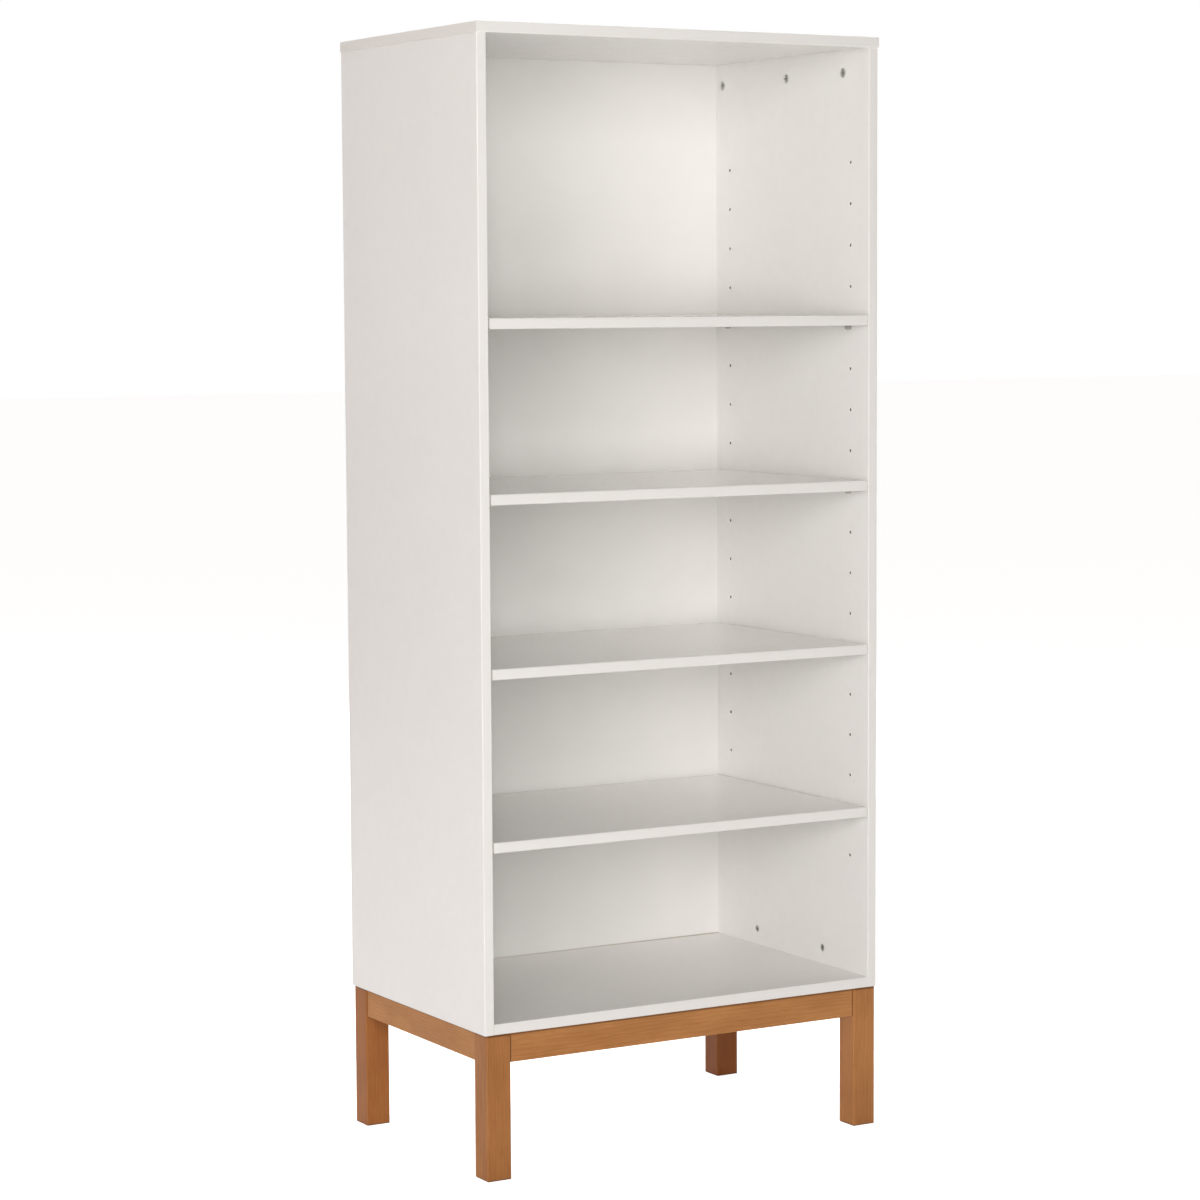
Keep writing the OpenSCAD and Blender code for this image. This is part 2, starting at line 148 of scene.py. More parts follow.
class LacquerSettings(bpy.types.PropertyGroup):
    board_colour: colour_setting(
        "Board colour", "Warm white satin lacquer on the boards", (0.892, 0.874, 0.846))
    back_colour: colour_setting(
        "Back colour", "White face of the thin back panel", (0.882, 0.864, 0.836))
    core_colour: colour_setting(
        "Core colour", "Bare fibreboard inside holes and grooves", (0.235, 0.175, 0.120))
    satin: roughness_setting("Satin", "Roughness of the lacquer", 0.16)
    peel_size: length_setting(
        "Spray texture size", "Width of the fine bumps that spraying leaves", 0.0002, 0.01, 0.0016)
    rubbed_edge: length_setting(
        "Rubbed edge", "Width of the slightly rubbed strip along each edge", 0.0002, 0.01, 0.0028)


class WoodSettings(bpy.types.PropertyGroup):
    light_colour: colour_setting(
        "Light grain", "Stained wood between the growth rings", (0.40, 0.178, 0.060))
    dark_colour: colour_setting(
        "Dark grain", "Stained wood in the growth rings and pores", (0.27, 0.105, 0.030))
    ring_spacing: length_setting(
        "Ring spacing", "Distance from one growth ring to the next", 0.0005, 0.02, 0.0042)
    sheen: roughness_setting("Satin", "Roughness of the clear varnish", 0.42)
    dowel_colour: colour_setting("Dowel colour", "Bare beech of the dowels", (0.62, 0.45, 0.27))
    dowel_flutes: IntProperty(
        name="Dowel flutes", description="Number of glue grooves round a dowel",
        min=4, max=40, default=18)


class MetalSettings(bpy.types.PropertyGroup):
    pin_colour: colour_setting(
        "Pin colour", "Nickel plating of the shelf pins", (0.60, 0.585, 0.56))
    cam_colour: colour_setting("Cam colour", "Bare cast zinc of the cams", (0.74, 0.74, 0.73))
    steel_colour: colour_setting(
        "Steel colour", "Zinc plating of the bolts, screws, nuts and plates", (0.62, 0.62, 0.60))
    slot_width: length_setting(
        "Cam slot width", "Width of the driver slots in a cam", 0.0005, 0.004, 0.0018)
    slot_depth: length_setting(
        "Cam slot depth", "Depth of the driver slots in a cam", 0.0005, 0.006, 0.0025)


class StudioSettings(bpy.types.PropertyGroup):
    camera_place: FloatVectorProperty(
        name="Camera place", description="Where the camera stands", unit="LENGTH",
        subtype="TRANSLATION", size=3, default=(-2.645, -4.512, 1.297))
    camera_heading: angle_setting(
        "Heading", "Turn of the view from straight at the front, to the right", 30.18)
    camera_pitch: angle_setting("Pitch", "Tilt of the view below level", 5.08)
    camera_roll: angle_setting("Roll", "Turn of the camera about its own view", -0.32)
    focal_length: FloatProperty(
        name="Focal length", description="Focal length of the lens, in millimetres",
        min=10, max=400, default=100.6)
    surround: strength_setting("Surround", "Brightness of the light from all round", 0.03, 10)
    left_tint: colour_setting(
        "Left tint", "Colour of all the light from the surround", (1.0, 0.90, 0.87))
    left_surround: strength_setting(
        "Left surround", "Brightness added on the left of the surround", 0.71, 10)
    key_power: strength_setting("Key light", "Power of the soft box in front, in watts", 154, 5000)
    side_power: strength_setting(
        "Side light", "Power of the low soft box on the left, in watts", 66, 5000)
    rear_power: strength_setting(
        "Rear light", "Power of the soft box behind, in watts", 150, 5000)
    top_power: strength_setting(
        "Top light", "Power of the soft box overhead, in watts", 75, 5000)
    right_power: strength_setting(
        "Right light", "Power of the soft box on the right, in watts", 120, 5000)
    floor_white: strength_setting(
        "Floor white", "Brightness added to the floor where it is seen directly", 0.85, 2)


# Shapes


def smooth_step(start, end, value):
    """0 before start and 1 after end, on the curve 3s^2 - 2s^3 between them."""
    share = np.clip((value - start) / (end - start), 0, 1)
    return share * share * (3 - 2 * share)


def filled_in(profile, step):
    """A polyline's corners, with more points between them so that no run is longer than step."""
    profile = np.asarray(profile, float)
    length = np.concatenate([[0], np.cumsum(np.linalg.norm(np.diff(profile, axis=0), axis=1))])
    even = np.linspace(0, length[-1], max(2, math.ceil(length[-1] / step) + 1))
    stations = np.unique(np.round(np.concatenate([length, even]), 9))
    stations = stations[np.concatenate([[True], np.diff(stations) > step * 0.2])]
    return np.column_stack([np.interp(stations, length, profile[:, i]) for i in (0, 1)])


def ring_quads(rings):
    """Quads between each ring of point numbers and the next, closed round the rings."""
    beside = np.roll(rings, -1, axis=1)
    return np.stack([rings[:-1], beside[:-1], beside[1:], rings[1:]], axis=-1).reshape(-1, 4)


def end_fans(rings):
    """Triangles from the first and last rings to two points, numbered just after the rings' own."""
    beside = np.roll(rings, -1, axis=1)
    low = np.full(rings.shape[1], rings.size)
    return np.vstack([np.stack([low, beside[0], rings[0]], axis=-1),
                      np.stack([low + 1, rings[-1], beside[-1]], axis=-1)])


def turned(profile, columns, ridge=None, dent=None):
    """A turned shape about Z, from its low end to its high end.

    Each row of the profile is (height, radius), and gives a ring of points (r cos t, r sin t, h).
    ridge(h, t) is added to the radius, and dent(x, y, h) is taken from the height. A profile that
    starts and ends on the axis is closed there by one point at each end, and any other closes on
    itself, as a ring.
    """
    profile = np.asarray(profile, float)
    solid = profile[0, 1] == 0 and profile[-1, 1] == 0
    rings = profile[1:-1] if solid else profile
    angle = np.arange(columns) * TURN / columns
    height = np.repeat(rings[:, :1], columns, axis=1)
    radius = np.repeat(rings[:, 1:], columns, axis=1)
    if ridge is not None:
        radius = radius + ridge(height, angle[None, :])
    x = radius * np.cos(angle)
    y = radius * np.sin(angle)
    if dent is not None:
        height = height - dent(x, y, height)
    points = np.stack([x, y, height], axis=-1).reshape(-1, 3)
    numbers = np.arange(len(points)).reshape(len(rings), columns)
    if not solid:
        return points, ring_quads(np.vstack([numbers, numbers[:1]])), np.empty((0, 3), int)
    ends = np.array([[0, 0, profile[0, 0]], [0, 0, profile[-1, 0]]])
    if dent is not None:
        ends[:, 2] -= dent(ends[:, 0], ends[:, 1], ends[:, 2])
    return np.vstack([points, ends]), ring_quads(numbers), end_fans(numbers)


def rounded_lump(half_size, sharpness, rows=24, columns=32):
    """A superellipsoid: each coordinate is a half size times sines or cosines to the sharpness."""
    def power(value):
        return np.sign(value) * np.abs(value) ** sharpness

    tilt = np.linspace(-math.pi / 2, math.pi / 2, rows + 2)[1:-1, None]
    angle = (np.arange(columns) * TURN / columns)[None, :]
    x = half_size[0] * power(np.cos(tilt)) * power(np.cos(angle))
    y = half_size[1] * power(np.cos(tilt)) * power(np.sin(angle))
    z = half_size[2] * power(np.sin(tilt)) * np.ones_like(angle)
    points = np.stack([x, y, z], axis=-1).reshape(-1, 3)
    numbers = np.arange(len(points)).reshape(rows, columns)
    ends = [[0, 0, -half_size[2]], [0, 0, half_size[2]]]
    return np.vstack([points, ends]), ring_quads(numbers), end_fans(numbers)


def thread(pitch, depth, start, end):
    """A screw thread between two heights: a triangle wave of height less angle, in the radius."""
    def ridge(height, angle):
        wave = np.abs(((height / pitch - angle / TURN) % 1) * 2 - 1)
        fade = smooth_step(start, start + pitch, height)
        fade = fade * smooth_step(end, end - pitch * 0.6, height)
        return -depth * wave * fade
    return ridge


def cross_recess(reach, width, depth, face):
    """Two crossed slots sunk into all that lies above the face's height, with sloping walls."""
    slope = width * 0.16

    def slot(across, along):
        inside = smooth_step(width / 2 + slope, width / 2 - slope, np.abs(across))
        return inside * smooth_step(reach + slope, reach - slope, np.abs(along))

    def dent(x, y, height):
        return np.where(height > face, depth * np.maximum(slot(x, y), slot(y, x)), 0)
    return dent


def stood(shape, foot, along, across=(0, 0, 1)):
    """The shape with its Z turned along one direction, its X across, and its origin at the foot."""
    points, quads, fans = shape
    along = np.asarray(along, float) / np.linalg.norm(along)
    across = np.asarray(across, float) - np.dot(across, along) * along
    across = across / np.linalg.norm(across)
    axes = np.stack([across, np.cross(along, across), along])
    return points @ axes + np.asarray(foot, float), quads, fans


def add_piece(name, shapes, finish, node):
    """One object from several closed shapes. It rides with the node that it stands for."""
    first, points, quads, fans = 0, [], [], []
    for shape_points, shape_quads, shape_fans in shapes:
        points.append(shape_points)
        quads.append(shape_quads + first)
        fans.append(shape_fans + first)
        first += len(shape_points)
    points, quads, fans = np.vstack(points), np.vstack(quads), np.vstack(fans)
    mesh = bpy.data.meshes.new(name)
    mesh.vertices.add(len(points))
    mesh.vertices.foreach_set("co", points.astype(np.float32).ravel())
    mesh.loops.add(quads.size + fans.size)
    corners = np.concatenate([quads.ravel(), fans.ravel()])
    mesh.loops.foreach_set("vertex_index", corners.astype(np.int32))
    starts = np.concatenate([np.arange(len(quads)) * 4, quads.size + np.arange(len(fans)) * 3])
    mesh.polygons.add(len(starts))
    mesh.polygons.foreach_set("loop_start", starts.astype(np.int32))
    mesh.update(calc_edges=True)
    if mesh.validate():
        raise RuntimeError(f"the surface of {name} has broken faces")
    mesh.shade_smooth()
    mesh.set_sharp_from_angle(angle=CREASE)
    mesh.materials.append(finish)
    piece = bpy.data.objects.new(name, mesh)
    bpy.context.scene.collection.objects.link(piece)
    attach(piece, BODY_OF[node])
    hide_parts(node)
    return piece


def solids(node):
    """The boxes of a node's separate solids.

    Its triangles are parted wherever there is a gap along an axis, until no group has one.
    """
    mesh = NODES[node].data
    mesh.calc_loop_triangles()
    places = np.empty(len(mesh.vertices) * 3, np.float32)
    mesh.vertices.foreach_get("co", places)
    corners = np.empty(len(mesh.loop_triangles) * 3, np.int32)
    mesh.loop_triangles.foreach_get("vertices", corners)
    waiting = [places.reshape(-1, 3)[corners].reshape(-1, 3, 3).astype(float)]
    found = []
    while waiting:
        part = waiting.pop()
        low, high = part.min(axis=1), part.max(axis=1)
        for axis in range(3):
            order = np.argsort(low[:, axis])
            reach = np.maximum.accumulate(high[order, axis])
            cuts = np.flatnonzero(low[order, axis][1:] > reach[:-1] + LEAST_GAP) + 1
            if len(cuts):
                waiting += [part[group] for group in np.split(order, cuts)]
                break
        else:
            found.append((low.min(axis=0), high.max(axis=0)))
    return sorted(found, key=lambda box: tuple(box[0].round(4)))


def long_axis(low, high):
    """Of a long box: its middle, a unit vector along it, its length and half its least width."""
    size = high - low
    along = np.zeros(3)
    along[np.argmax(size)] = 1
    return (low + high) / 2, along, float(size.max()), size.min() / 2


def shelf_pin_shape(reach, shank, head_radius, shank_radius):
    """A turned pin, from its head's end to its shank's tip, with a groove beside its shoulder."""
    groove_radius, tip = head_radius - 0.22 * MM, reach + shank
    domed_end = [
        (0, 0), (0, head_radius - 1.4 * MM), (0.12 * MM, head_radius - 0.8 * MM),
        (0.45 * MM, head_radius - 0.3 * MM), (0.95 * MM, head_radius - 0.05 * MM)]
    profile = domed_end + [
        (1.3 * MM, head_radius), (reach - 1.9 * MM, head_radius), (reach - 1.7 * MM, groove_radius),
        (reach - 1.3 * MM, groove_radius), (reach - 1.1 * MM, head_radius),
        (reach - 0.15 * MM, head_radius), (reach, head_radius - 0.15 * MM),
        (reach + 0.01 * MM, shank_radius), (tip - 1.0 * MM, shank_radius),
        (tip - 0.45 * MM, shank_radius - 0.25 * MM), (tip, shank_radius - 1.0 * MM), (tip, 0)]
    return turned(filled_in(profile, 0.9 * MM), 48)


def cam_shape(radius, depth, slot_width, slot_depth, bolt_height):
    """A cast cam, its face up at height zero: a sunk ring, crossed slots and the bolt's pocket.

    The pocket is where the wall's radius shrinks inside a circle about the bolt, on the +X side.
    A raised arrow crosses the ring there and points to the bolt.
    """
    wall = [(-depth, 0), (-depth, radius - 0.4 * MM), (-depth + 0.4 * MM, radius),
            (-0.45 * MM, radius), (-0.12 * MM, radius - 0.12 * MM), (0, radius - 0.4 * MM)]
    face = [(0, r) for r in np.linspace(radius - 0.55 * MM, 0.12 * MM, 44)]
    pocket_depth, ring_depth, under_face = radius - 1.2 * MM, 0.22 * MM, -0.05 * MM
    profile = np.vstack([filled_in(wall, 0.42 * MM), face, [(0, 0)]])
    slots = cross_recess(radius * 0.55, slot_width, slot_depth, under_face)

    def pocket(height, angle):
        around = radius * (((angle + math.pi) % TURN) - math.pi)
        away = np.hypot(height - bolt_height, around)
        return -pocket_depth * smooth_step(3.8 * MM, 3.3 * MM, away)

    def dent(x, y, height):
        out = np.hypot(x, y) / radius
        before_rim = smooth_step(0.86, 0.82, out)
        ring = smooth_step(0.60, 0.64, out) * before_rim
        arrow = smooth_step(0.12 * MM, 0, np.abs(y) - (x - 0.62 * radius) * 0.55)
        arrow = arrow * smooth_step(0.60, 0.64, x / radius) * before_rim
        sunk = np.maximum(slots(x, y, height), ring_depth * ring * (1 - arrow))
        return np.where(height > under_face, sunk, 0)

    return turned(profile, 112, ridge=pocket, dent=dent)


def cam_bolt_shape(length, head_radius, grip):
    """A bolt from its head to its tip: a ball head, a thin neck, a shank and a coarse thread."""
    ball_reach, neck_radius, radius = 1.75 * MM, 1.7 * MM, 2.5 * MM
    ball = [(ball_reach - ball_reach * math.cos(t), head_radius * math.sin(t) ** 0.7)
            for t in np.linspace(0, math.pi * 0.80, 12)[1:]]
    profile = [(0, 0)] + ball + [
        (3.95 * MM, neck_radius), (6.0 * MM, neck_radius), (6.8 * MM, radius),
        (length - 1.2 * MM, radius), (length - 0.3 * MM, radius - 0.8 * MM),
        (length, radius - 1.2 * MM), (length, 0)]
    coarse = thread(1.9 * MM, 0.55 * MM, length - grip + 0.5 * MM, length - 0.6 * MM)
    return turned(filled_in(profile, 0.24 * MM), 32, ridge=coarse)


def dowel_shape(length, radius, flutes):
    """A beech dowel with chamfered ends, and a glue groove wherever a cosine round it peaks."""
    end_radius, chamfer, groove_depth, columns_per_flute = radius - 1.1 * MM, 1.2 * MM, 0.26 * MM, 6
    profile = filled_in([(0, 0), (0, end_radius), (chamfer, radius), (length - chamfer, radius),
                         (length, end_radius), (length, 0)], 1.6 * MM)

    def groove(height, angle):
        from_end = np.minimum(height, length - height)
        fade = smooth_step(0.6 * MM, 1.8 * MM, from_end)
        return -groove_depth * (0.5 + 0.5 * np.cos(flutes * angle)) ** 3 * fade

    return turned(profile, flutes * columns_per_flute, ridge=groove)


def hanger_bolt_shape(length, radius, in_wood):
    """A headless bolt: a fine machine thread, a plain middle, then a coarse wood thread."""
    wood, plain_radius = length - in_wood, radius - 0.35 * MM
    profile = [
        (0, 0), (0, radius - 0.9 * MM), (0.8 * MM, radius), (wood - 3 * MM, radius),
        (wood - 2.6 * MM, plain_radius), (wood, plain_radius), (wood + 0.6 * MM, radius),
        (length - 7 * MM, radius), (length, 0.6 * MM), (length, 0)]
    fine = thread(1.25 * MM, 0.62 * MM, 0.2 * MM, wood - 3 * MM)
    coarse = thread(3.2 * MM, 1.1 * MM, wood, length - 2 * MM)

    def both(height, angle):
        return fine(height, angle) + coarse(height, angle)

    return turned(filled_in(profile, 0.2 * MM), 32, ridge=both)


def screw_shape(length, head_height, head_radius, radius):
    """A pan head screw from its tip up: a pointed thread, and a domed head with a cross recess."""
    base, rim, neck_radius = length - head_height, 0.5 * MM, radius - 0.25 * MM
    shank = filled_in([(0, 0), (0.05 * MM, 0.25 * MM), (4 * MM, radius), (base - 2.4 * MM, radius),
                       (base - 2.0 * MM, neck_radius), (base, neck_radius)], 0.22 * MM)
    under_head = [(base + 0.02 * MM, head_radius - 0.2 * MM)]
    dome = [(base + rim + (head_height - rim) * math.sin(t),
             head_radius - 0.45 * head_radius * (1 - math.cos(t)))
            for t in np.linspace(0, math.pi / 2, 9)]
    crown = [(length, r) for r in np.linspace(0.52 * head_radius, 0.1 * MM, 18)]
    profile = np.vstack([shank, under_head, dome, crown, [(length, 0)]])
    wood_thread = thread(1.8 * MM, 0.6 * MM, 0.4 * MM, base - 2.0 * MM)
    recess = cross_recess(head_radius * 0.42, 0.75 * MM, 1.2 * MM, length - 0.3 * MM)
    return turned(profile, 64, ridge=wood_thread, dent=recess)


def wing_nut_shapes(hole_radius):
    """A wing nut from its free end upwards: a tapered hub with a hole, and two rounded wings."""
    height, end_radius, face_radius = 10 * MM, 6 * MM, 8 * MM
    wing_half_size, wing_middle = (6 * MM, 1.5 * MM, 6 * MM), 10 * MM
    hub = [(0.5 * MM, hole_radius), (0, hole_radius + 0.5 * MM), (0, end_radius - 0.8 * MM),
           (0.25 * MM, end_radius - 0.2 * MM), (0.9 * MM, end_radius),
           (height - 1.6 * MM, face_radius - 0.35 * MM), (height - 1.3 * MM, face_radius),
           (height - 0.3 * MM, face_radius), (height, face_radius - 0.3 * MM),
           (height, hole_radius + 0.5 * MM), (height - 0.5 * MM, hole_radius)]
    shapes = [turned(filled_in(hub + hub[:1], 0.8 * MM)[:-1], 48)]
    for side in (-1, 1):
        points, quads, fans = rounded_lump(wing_half_size, 0.55)
        # The wing thins by a quarter from its inner end to its outer end
        outward = points[:, 0] / (2 * wing_half_size[0]) + 0.5
        points[:, 1] *= side * (1.0 - 0.25 * outward)
        points[:, 0] = side * (points[:, 0] + wing_middle)
        shapes.append((points, quads, fans))
    return shapes


def nail_shape(length, radius, head_radius, head_height):
    """A panel nail, point down: a plain shank and a flat head with a fine pressed grid on it."""
    base, grid, grid_depth = length - head_height, 0.9 * MM, 0.06 * MM
    shank = filled_in([(0, 0), (0.05 * MM, 0.1 * MM), (1.6 * MM, radius),
                       (base - 0.3 * MM, radius)], 1.2 * MM)
    head = [(base, radius + 0.15 * MM), (base + 0.02 * MM, head_radius - 0.15 * MM),
            (base + 0.2 * MM, head_radius), (length - 0.2 * MM, head_radius)]
    crown = [(length, r) for r in np.linspace(head_radius - 0.35 * MM, 0.1 * MM, 22)]
    profile = np.vstack([shank, head, crown, [(length, 0)]])

    def pressed(x, y, height):
        line = np.maximum(np.cos(TURN * x / grid), np.cos(TURN * y / grid))
        return np.where(height > length - 0.05 * MM, grid_depth * smooth_step(0.7, 0.98, line), 0)

    return turned(profile, 56, dent=pressed)


# Finishes


def math_method(operation, swapped=False):
    """A method that adds one Math node, with the other number first if it is swapped."""
    def method(self, other=0.0):
        first, second = (other, self) if swapped else (self, other)
        return self.finish.node("ShaderNodeMath", {"operation": operation}, {0: first, 1: second})
    return method


class Value:
    """A node's output. Arithmetic on it adds Math nodes, with a plain number on either side."""

    def __init__(self, finish, socket):
        self.finish = finish
        self.socket = socket

    __add__ = math_method("ADD")
    __radd__ = math_method("ADD", swapped=True)
    __sub__ = math_method("SUBTRACT")
    __rsub__ = math_method("SUBTRACT", swapped=True)
    __mul__ = math_method("MULTIPLY")
    __rmul__ = math_method("MULTIPLY", swapped=True)
    __truediv__ = math_method("DIVIDE")
    __pow__ = math_method("POWER")
    __abs__ = math_method("ABSOLUTE")
    sine = math_method("SINE")
    smaller = math_method("MINIMUM")
    larger = math_method("MAXIMUM")

    def rise(self, start, end, low=0.0, high=1.0):
        """low before start and high after end, with a smooth step between them."""
        sockets = {"Value": self, "From Min": start, "From Max": end, "To Min": low, "To Max": high}
        return self.finish.node("ShaderNodeMapRange", {"interpolation_type": "SMOOTHSTEP"}, sockets)


class Finish:
    """A material under construction, with one Principled shader."""

    def __init__(self, name):
        self.material = bpy.data.materials.new(name)
        self.material.use_nodes = True
        self.tree = self.material.node_tree
        self.tree.nodes.clear()
        self.places = self.node("ShaderNodeTexCoord", out="Object")

    @classmethod
    def of_tree(cls, tree):
        """The same tools on a node tree that exists already, such as the world's."""
        tools = cls.__new__(cls)
        tools.tree = tree
        tree.nodes.clear()
        return tools

    def node(self, kind, settings=None, sockets=None, out=0):
        """Adds a node with its settings and its sockets' values or links. Returns one output."""
        made = self.tree.nodes.new(kind)
        for key, value in (settings or {}).items():
            setattr(made, key, value)
        for key, value in (sockets or {}).items():
            socket = made.inputs[key]
            if isinstance(value, Value):
                self.tree.links.new(value.socket, socket)
            elif socket.type == "RGBA" and len(value) == 3:
                socket.default_value = (*value, 1.0)
            else:
                socket.default_value = value
        return Value(self, made.outputs[out])

    def measured_from(self, middle):
        """Object places measured from a middle point."""
        sockets = {0: self.places, 1: tuple(middle)}
        return self.node("ShaderNodeVectorMath", {"operation": "SUBTRACT"}, sockets)

    def noise(self, scale, detail, roughness=0.5, places=None):
        """Smooth noise from 0 to 1. The scale is how many waves fit in a unit of the places."""
        sockets = {"Vector": places or self.places, "Scale": scale, "Detail": detail,
                   "Roughness": roughness}
        return self.node("ShaderNodeTexNoise", {"noise_dimensions": "3D"}, sockets)

    def parts(self, vector):
        """The three numbers of a vector."""
        made = self.node("ShaderNodeSeparateXYZ", None, {0: vector}, out="X").socket.node
        return [Value(self, made.outputs[name]) for name in ("X", "Y", "Z")]

    def mixed(self, share, first, second):
        """A colour part way between two others."""
        sockets = {"Factor": share, 6: first, 7: second}
        return self.node("ShaderNodeMix", {"data_type": "RGBA"}, sockets, out=2)

    def bump(self, height, distance, strength):
        """Normals bent as if the surface stood out by the height times the distance."""
        sockets = {"Height": height, "Distance": distance, "Strength": strength}
        return self.node("ShaderNodeBump", None, sockets, out="Normal")

    def done(self, **sockets):
        """Closes the material with a Principled shader and returns it."""
        sockets = {key.replace("_", " "): value for key, value in sockets.items()}
        shader = self.node("ShaderNodeBsdfPrincipled", None, sockets)
        self.output = self.tree.nodes.new("ShaderNodeOutputMaterial")
        self.tree.links.new(shader.socket, self.output.inputs["Surface"])
        return self.material


def scaled(colour, share):
    """A colour with each of its parts multiplied by the share, and kept to 1 or less."""
    return [min(1.0, part * share) for part in colour]


def lacquered_board(name, low, high, settings):
    """Satin lacquer: spray texture, faint mottling, lightly rubbed edges, and bare core in holes.

    The distances to the three pairs of faces give the masks. The smallest is zero on the outside
    and grows inside a hole, and the middle one of the three is the distance to the nearest edge.
    The narrow faces are a little darker than the wide ones, as painted shade that keeps them from
    coming out too bright under the light from the front.
    """
    finish = Finish(name)
    colour = settings.board_colour
    middle, half = (low + high) / 2, (high - low) / 2
    parts = finish.parts(finish.measured_from(middle))
    depths = [half[i] - abs(parts[i]) for i in range(3)]
    smallest = depths[0].smaller(depths[1]).smaller(depths[2])
    pair_low, pair_high = depths[0].smaller(depths[1]), depths[0].larger(depths[1])
    to_edge = pair_low.larger(pair_high.smaller(depths[2]))
    core = smallest.rise(0.6 * MM, 0.9 * MM)
    mottle = finish.noise(9.0, 3.0)
    cloud = finish.noise(55.0, 2.0)
    uneven = finish.noise(240.0, 2.0)
    worn = to_edge.rise(settings.rubbed_edge, 0.3 * MM) * uneven.rise(0.42, 0.68)
    thin = int(np.argmin(half))
    beside = [depths[i] for i in range(3) if i != thin]
    # Painted shade: near each narrow face the colour is darkened, fading out from 0.3 to 1.1 mm
    # away
    narrow_face_shade = beside[0].smaller(beside[1]).rise(1.1 * MM, 0.3 * MM)
    speck = finish.noise(1300.0, 1.0).rise(0.74, 0.80)
    shade = scaled(colour, 0.97)
    warm = [colour[0] * 0.985, colour[1] * 0.955, colour[2] * 0.90]
    shading = mottle.rise(0.25, 0.80) * 0.4 + cloud.rise(0.35, 0.70) * 0.4
    paint = finish.mixed(shading, colour, shade)
    # The darker colour of the narrow faces is painted shade
    narrow = [part * tint for part, tint in zip(colour, (0.915, 0.905, 0.895))]
    paint = finish.mixed(narrow_face_shade, paint, narrow)
    paint = finish.mixed(worn * 0.35, paint, warm)
    paint = finish.mixed(speck * 0.12, paint, scaled(colour, 0.72))
    fibres = finish.noise(900.0, 4.0, 0.65)
    dark_core = scaled(settings.core_colour, 0.72)
    bare = finish.mixed(fibres.rise(0.35, 0.65), dark_core, settings.core_colour)
    base = finish.mixed(core, paint, bare)
    peel = finish.noise(1 / settings.peel_size, 1.5)
    ripple = finish.noise(60.0, 1.0)
    rough = settings.satin + (uneven - 0.5) * 0.07 - worn * 0.06 + (peel - 0.5) * 0.05
    rough = rough * (1 - core) + 0.85 * core
    height = peel * 0.35 + ripple + fibres * core * 4.0
    normal = finish.bump(height, 0.02 * MM, 0.9)
    return finish.done(Base_Color=base, Roughness=rough, Normal=normal, Specular_IOR_Level=0.5)


def white_back_board(name, low, high, settings, floor_height):
    """Thin hard fibreboard: white faces with a faint fine tooth, and brown cut edges.

    Just above the floor of the case runs a thin brown line, which grows stronger to the right:
    partly bare core, partly painted shade in the seam with the bottom panel.
    """
    finish = Finish(name)
    middle, half = (low + high) / 2, (high - low) / 2
    x, _, z = finish.parts(finish.measured_from(middle))
    from_edge = (half[0] - abs(x)).smaller(half[2] - abs(z))
    edge = from_edge.rise(0.6 * MM, 0.2 * MM)
    tooth = finish.noise(700.0, 3.0, 0.6)
    mottle = finish.noise(12.0, 3.0)
    uneven = finish.noise(180.0, 2.0)
    white, core = settings.back_colour, settings.core_colour
    shading = mottle.rise(0.35, 0.7) * 0.6 + tooth.rise(0.4, 0.7) * 0.25
    paint = finish.mixed(shading, white, scaled(white, 0.97))
    fibres = finish.noise(1100.0, 4.0, 0.7)
    brown = finish.mixed(fibres.rise(0.35, 0.65), scaled(core, 0.7), core)
    # A thin brown line over the seam with the bottom panel: bare core, and painted shade in the
    # seam
    line = (z + (middle[2] - floor_height)).rise(1.8 * MM, 0.7 * MM)
    line = line * (x / half[0]).rise(-0.6, 0.9, 0.25, 0.60)
    paint = finish.mixed(line, paint, scaled(core, 1.4))
    base = finish.mixed(edge, paint, brown)
    rough = 0.52 + (uneven - 0.5) * 0.10 + edge * 0.3
    height = tooth * 0.6 + mottle * 0.4 + fibres * edge * 3.0
    normal = finish.bump(height, 0.02 * MM, 0.8)
    return finish.done(Base_Color=base, Roughness=rough, Normal=normal, Specular_IOR_Level=0.45)


